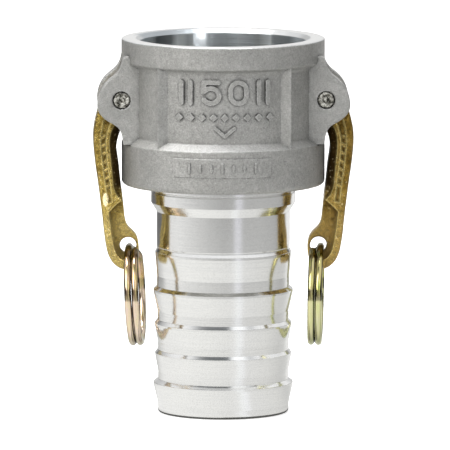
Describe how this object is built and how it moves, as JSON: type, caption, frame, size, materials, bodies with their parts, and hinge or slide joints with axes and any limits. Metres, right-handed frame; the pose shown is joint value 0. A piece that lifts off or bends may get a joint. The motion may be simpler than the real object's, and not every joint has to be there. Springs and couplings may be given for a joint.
{
  "type": "camlock coupling",
  "caption": "Cam and groove hose coupler: cast cup with two hinged cam arms and pull rings, sealing gasket, and a turned serrated hose shank.",
  "frame": {"origin": "on the coupler axis at the hose end face of the shank, the lowest point of the object", "axes": "+Z along the coupler axis from the hose end to the mouth of the cup, +X towards the right arm, -Y the marked front"},
  "size_m": [0.0988, 0.0786, 0.143],
  "materials": {
    "cast_aluminium": "as-cast, tumbled matte grey; mouth face and bore machined bright",
    "turned_aluminium": "turned bright with fine lathe rings",
    "black_rubber": "moulded black nitrile, satin",
    "arm_brass": "cast brass, tumbled bright on edges, dark in recesses",
    "pin_steel": "plain steel pin with staked ends",
    "ring_zinc": "steel wire, yellow chromate zinc plating"
  },
  "bodies": {
    "coupler": {"coupler_body": "cast_aluminium", "hose_shank": "turned_aluminium", "face_gasket": "black_rubber", "arm_pin_left": "pin_steel", "arm_pin_right": "pin_steel"},
    "arm_left": {"cam_arm_left": "arm_brass"},
    "arm_right": {"cam_arm_right": "arm_brass"},
    "ring_left": {"pull_ring_left": "ring_zinc"},
    "ring_right": {"pull_ring_right": "ring_zinc"}
  },
  "joints": [
    {"name": "arm_left_hinge", "type": "hinge", "parent": "coupler", "child": "arm_left", "pos_m": [-0.0387, 0, 0.1207], "axis": [0, 1, 0], "range_deg": [0, 120]},
    {"name": "arm_right_hinge", "type": "hinge", "parent": "coupler", "child": "arm_right", "pos_m": [0.0387, 0, 0.1207], "axis": [0, -1, 0], "range_deg": [0, 120]},
    {"name": "ring_left_swing", "type": "hinge", "parent": "arm_left", "child": "ring_left", "pos_m": [-0.0362, 0, 0.0639], "axis": [0, 1, 0], "range_deg": [-120, 0]},
    {"name": "ring_right_swing", "type": "hinge", "parent": "arm_right", "child": "ring_right", "pos_m": [0.0362, 0, 0.0639], "axis": [0, -1, 0], "range_deg": [-120, 0]}
  ],
  "couplings": [
    {"joint": "ring_left_swing", "follows": "arm_left_hinge", "ratio": -1},
    {"joint": "ring_right_swing", "follows": "arm_right_hinge", "ratio": -1}
  ]
}
